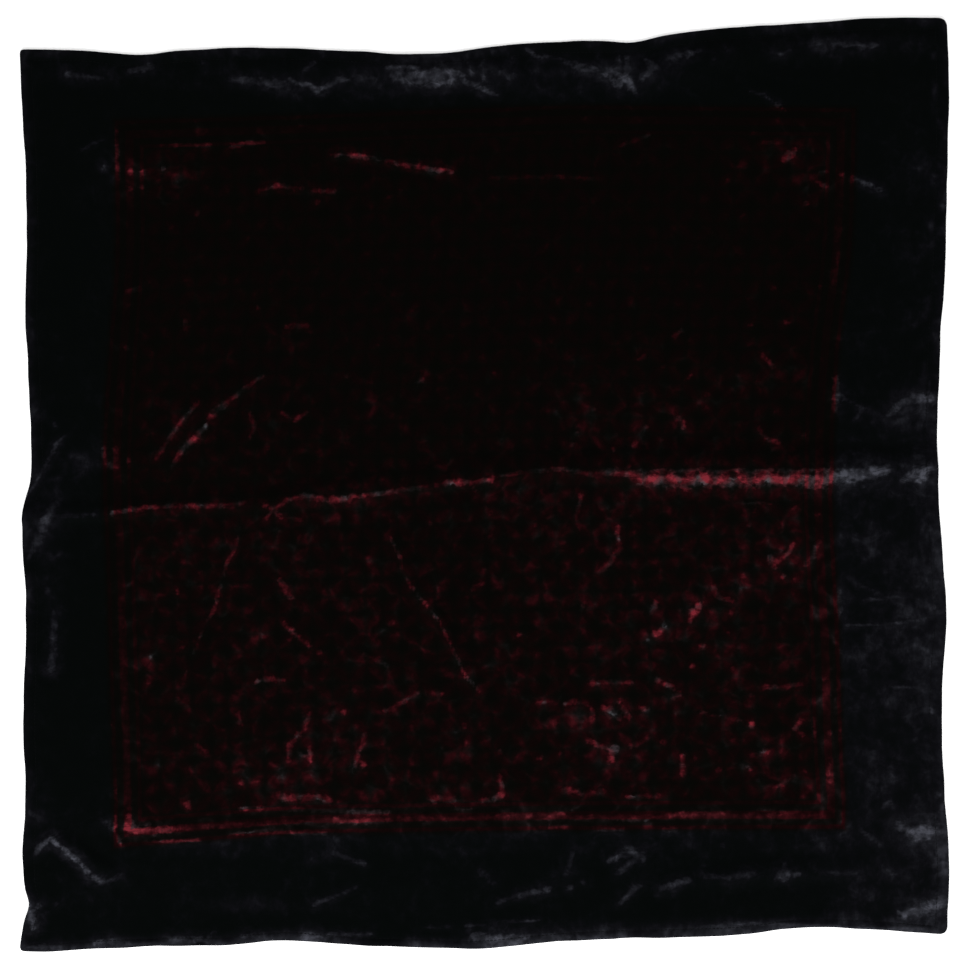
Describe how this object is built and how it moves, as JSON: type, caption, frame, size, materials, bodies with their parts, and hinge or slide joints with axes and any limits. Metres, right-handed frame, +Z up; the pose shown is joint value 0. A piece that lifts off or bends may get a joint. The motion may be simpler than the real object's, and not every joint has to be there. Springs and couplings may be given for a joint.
{
  "type": "velvet foulard scarf",
  "caption": "Square printed velvet foulard laid flat, its trellis print set in a lined frame inside a plain dark border, with soft creases and narrow turned hems.",
  "frame": {"origin": "middle of the laid cloth's bounding box, on the surface that it rests on", "axes": "+Z up out of the printed face, +Y towards the top side of the picture, +X towards its right side"},
  "size_m": [0.7071, 0.7102, 0.0073],
  "materials": {
    "printed_velvet": "crushed pile velvet, black ground printed dark red, sheen where the pile is pressed",
    "plain_velvet": "black pile velvet with a grey-blue sheen, turned and stitched down"
  },
  "bodies": {
    "root": {"velvet_square": "printed_velvet", "hem_top": "plain_velvet", "hem_right_lower": "plain_velvet", "hem_right_upper": "plain_velvet", "hem_bottom": "plain_velvet", "hem_left_upper": "plain_velvet", "hem_left_lower": "plain_velvet"}
  },
  "joints": []
}
